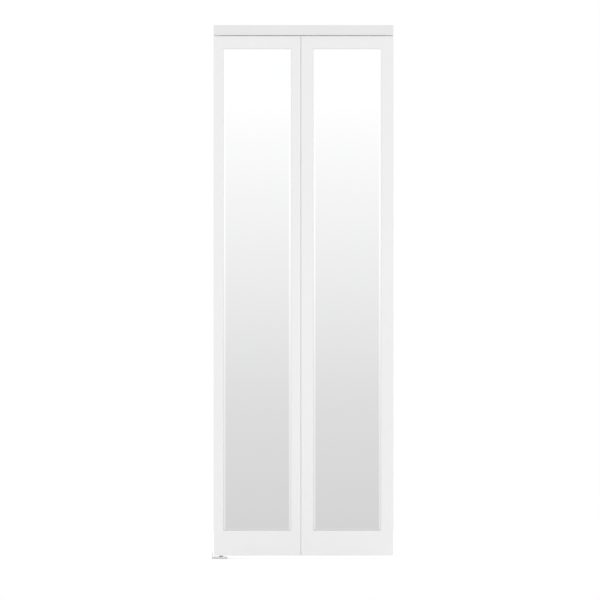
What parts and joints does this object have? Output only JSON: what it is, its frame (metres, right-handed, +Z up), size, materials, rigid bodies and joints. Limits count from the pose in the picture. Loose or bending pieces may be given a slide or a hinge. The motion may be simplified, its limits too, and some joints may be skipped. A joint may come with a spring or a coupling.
{
  "type": "bifold closet door",
  "caption": "Bifold closet door: bevelled mirrors in white leaves hinged at the seam, hung on sprung pivots and a guide wheel in a fascia track above a jamb bracket.",
  "frame": {"origin": "on the floor under the jamb bracket, on the vertical axis of the two jamb pivots", "axes": "+X along the track from the jamb to the lead edge, -Y to the room that the mirrors face, +Z up"},
  "size_m": [0.7007, 0.0474, 2.06],
  "materials": {
    "painted_board": "satin white paint on hardboard",
    "timber": "bare planed softwood",
    "particle_board": "bare particle board",
    "mirror_glass": "silvered float glass with a ground and polished bevel",
    "foam_tape": "white foam",
    "painted_track": "semi-gloss white paint",
    "galvanised_sheet": "zinc plated pressed sheet",
    "zinc_steel": "bright zinc plate",
    "spring_steel": "oiled wire",
    "hinge_plating": "satin nickel plate",
    "sleeve_nylon": "moulded natural nylon",
    "wheel_nylon": "moulded white nylon",
    "black_rubber": "moulded black rubber"
  },
  "bodies": {
    "frame_hardware": {"track": "painted_track", "track_stop": "black_rubber", "top_bracket": "galvanised_sheet", "top_bracket_lock_screw": "zinc_steel", "jamb_bracket": "galvanised_sheet", "bottom_pivot_pin": "zinc_steel", "bottom_pivot_nut": "zinc_steel"},
    "jamb_leaf": {"jamb_leaf_front_skin": "painted_board", "jamb_leaf_back_skin": "painted_board", "jamb_leaf_outer_stile": "timber", "jamb_leaf_hinge_stile": "timber", "jamb_leaf_top_rail": "timber", "jamb_leaf_bottom_rail": "timber", "jamb_leaf_core_panel": "particle_board", "jamb_leaf_mirror": "mirror_glass", "jamb_leaf_mirror_tape": "foam_tape", "jamb_leaf_hinge_screws": "zinc_steel", "top_pivot_sleeve": "sleeve_nylon", "top_pivot_spring": "spring_steel", "bottom_pivot_sleeve": "sleeve_nylon", "bottom_hinge_jamb_plate": "hinge_plating", "bottom_hinge_pin": "hinge_plating", "middle_hinge_jamb_plate": "hinge_plating", "middle_hinge_pin": "hinge_plating", "top_hinge_jamb_plate": "hinge_plating", "top_hinge_pin": "hinge_plating"},
    "lead_leaf": {"lead_leaf_front_skin": "painted_board", "lead_leaf_back_skin": "painted_board", "lead_leaf_outer_stile": "timber", "lead_leaf_hinge_stile": "timber", "lead_leaf_top_rail": "timber", "lead_leaf_bottom_rail": "timber", "lead_leaf_core_panel": "particle_board", "lead_leaf_mirror": "mirror_glass", "lead_leaf_mirror_tape": "foam_tape", "lead_leaf_hinge_screws": "zinc_steel", "guide_sleeve": "sleeve_nylon", "guide_spring": "spring_steel", "bottom_hinge_lead_plate": "hinge_plating", "middle_hinge_lead_plate": "hinge_plating", "top_hinge_lead_plate": "hinge_plating"},
    "top_pivot_plunger": {"top_pivot_pin": "zinc_steel"},
    "guide_plunger": {"guide_pin": "zinc_steel"},
    "guide_roller": {"guide_wheel": "wheel_nylon"}
  },
  "joints": [
    {"name": "jamb_leaf_swing", "type": "hinge", "parent": "frame_hardware", "child": "jamb_leaf", "pos_m": [0, 0, 1.016], "axis": [0, 0, 1], "range_deg": [-90, 0]},
    {"name": "lead_leaf_fold", "type": "hinge", "parent": "jamb_leaf", "child": "lead_leaf", "pos_m": [0.31825, 0.02135, 1.067], "axis": [0, 0, 1], "range_deg": [0, 180]},
    {"name": "top_pivot_plunge", "type": "slide", "parent": "jamb_leaf", "child": "top_pivot_plunger", "axis": [0, 0, 1], "range_m": [-0.013, 0], "stiffness_N_per_m": 900, "springref_m": 0.006, "deforming": ["top_pivot_spring"]},
    {"name": "guide_plunge", "type": "slide", "parent": "lead_leaf", "child": "guide_plunger", "axis": [0, 0, 1], "range_m": [-0.013, 0], "stiffness_N_per_m": 900, "springref_m": 0.006, "deforming": ["guide_spring"]},
    {"name": "guide_wheel_spin", "type": "hinge", "parent": "guide_plunger", "child": "guide_roller", "pos_m": [0.6365, 0, 2.041], "axis": [0, 0, 1], "continuous": true}
  ],
  "couplings": [
    {"joint": "lead_leaf_fold", "follows": "jamb_leaf_swing", "ratio": -2}
  ]
}
